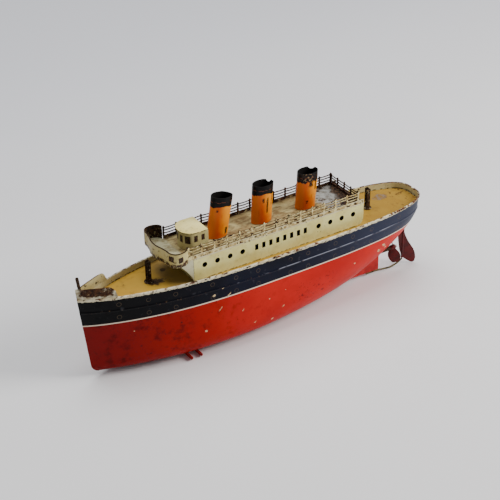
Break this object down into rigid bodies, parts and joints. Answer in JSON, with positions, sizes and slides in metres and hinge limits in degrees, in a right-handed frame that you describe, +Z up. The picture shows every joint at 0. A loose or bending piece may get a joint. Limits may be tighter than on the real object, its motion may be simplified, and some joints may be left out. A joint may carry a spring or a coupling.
{
  "type": "clockwork toy ocean liner",
  "caption": "Tinplate clockwork toy liner with raked funnels, bridge, railed boat deck, screw, turning rudder and geared motor inside.",
  "frame": {"origin": "under the middle of the overall box, on the surface that the boat stands on", "axes": "+X towards the bow, +Y to port, +Z up"},
  "size_m": [0.341, 0.0652, 0.1338],
  "materials": {
    "hull_paint": "worn gloss enamel, red below a cream waterline and navy above",
    "deck_ochre": "worn semi-gloss enamel with rust chips",
    "house_cream": "aged cream enamel with rusty edges",
    "funnel_orange": "worn orange enamel with a black top band",
    "rail_brown": "rusted sheet with traces of cream paint",
    "maroon_paint": "dark red enamel, chipped",
    "dull_steel": "dull oily steel",
    "brass_sheet": "tarnished brass",
    "lead_grey": "dull grey cast metal"
  },
  "bodies": {
    "boat": {"aft_mast_socket": "rail_brown", "ballast_weight": "lead_grey", "boat_deck": "house_cream", "bow_plate_port": "house_cream", "bow_plate_starboard": "house_cream", "bridge_bracket_port": "house_cream", "bridge_bracket_starboard": "house_cream", "bridge_bulwark": "house_cream", "fore_mast_socket": "rail_brown", "funnel_aft": "funnel_orange", "funnel_front": "funnel_orange", "funnel_middle": "funnel_orange", "house_aft": "house_cream", "house_front": "house_cream", "house_side_port": "house_cream", "house_side_starboard": "house_cream", "hull_port": "hull_paint", "hull_starboard": "hull_paint", "jackstaff_socket": "rail_brown", "main_deck": "deck_ochre", "motor_pillar_aft_port": "dull_steel", "motor_pillar_aft_starboard": "dull_steel", "motor_pillar_fore_port": "dull_steel", "motor_pillar_fore_starboard": "dull_steel", "motor_plate_lower": "dull_steel", "motor_plate_upper": "dull_steel", "rail_aft": "rail_brown", "rail_port": "rail_brown", "rail_starboard": "rail_brown", "rudder_guard": "dull_steel", "rudder_tube": "brass_sheet", "skeg": "hull_paint", "stand_foot": "hull_paint", "stern_tube": "brass_sheet", "wheelhouse_roof": "house_cream", "wheelhouse_walls": "house_cream"},
    "rudder": {"rudder": "maroon_paint"},
    "great_wheel": {"great_wheel": "brass_sheet", "winding_arbor": "dull_steel", "mainspring": "dull_steel"},
    "second_arbor": {"second_arbor": "dull_steel", "second_pinion": "dull_steel", "crown_wheel": "brass_sheet"},
    "propeller": {"propeller": "maroon_paint", "propeller_shaft": "dull_steel", "shaft_pinion": "brass_sheet"}
  },
  "joints": [
    {"name": "great_wheel_spin", "type": "hinge", "parent": "boat", "child": "great_wheel", "pos_m": [-0.0032, 0, 0.033], "axis": [0, 0, 1], "continuous": true},
    {"name": "second_arbor_spin", "type": "hinge", "parent": "boat", "child": "second_arbor", "pos_m": [-0.0272, 0, 0.033], "axis": [0, 0, 1], "continuous": true},
    {"name": "propeller_spin", "type": "hinge", "parent": "boat", "child": "propeller", "pos_m": [-0.1474, 0, 0.0215], "axis": [1, 0, 0], "continuous": true},
    {"name": "rudder_turn", "type": "hinge", "parent": "boat", "child": "rudder", "pos_m": [-0.1583, 0, 0.03], "axis": [0, 0, 1], "range_deg": [-13, 57]}
  ],
  "couplings": [
    {"joint": "great_wheel_spin", "follows": "propeller_spin", "ratio": -0.0625},
    {"joint": "second_arbor_spin", "follows": "propeller_spin", "ratio": 0.25}
  ]
}
